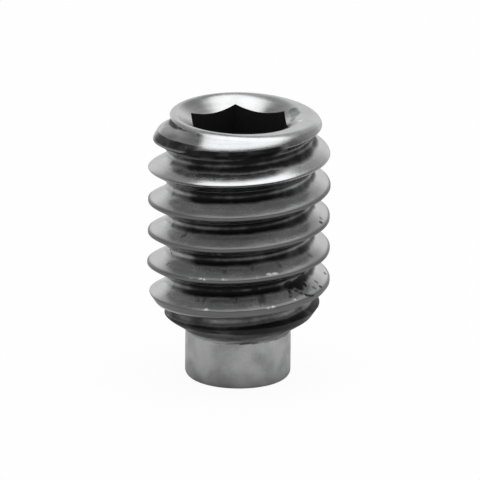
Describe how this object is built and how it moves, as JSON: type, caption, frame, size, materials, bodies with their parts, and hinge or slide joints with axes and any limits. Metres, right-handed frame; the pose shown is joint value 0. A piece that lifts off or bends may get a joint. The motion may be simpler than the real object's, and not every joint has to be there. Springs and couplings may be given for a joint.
{
  "type": "socket set screw with dog point",
  "caption": "Headless steel grub screw with a full-length right-hand thread, a hexagon socket in its top end and a plain cylindrical dog point at its tip.",
  "frame": {"origin": "centre of the dog point's end face, on the screw's axis", "axes": "+Z along the screw's axis, from the dog point towards the hexagon socket; one corner of the hexagon is 5 degrees past +Y, towards -X"},
  "size_m": [0.004, 0.004, 0.006],
  "materials": {
    "steel": "bright rolled thread and socket mouth, satin dog point"
  },
  "bodies": {
    "root": {"set_screw": "steel"}
  },
  "joints": []
}
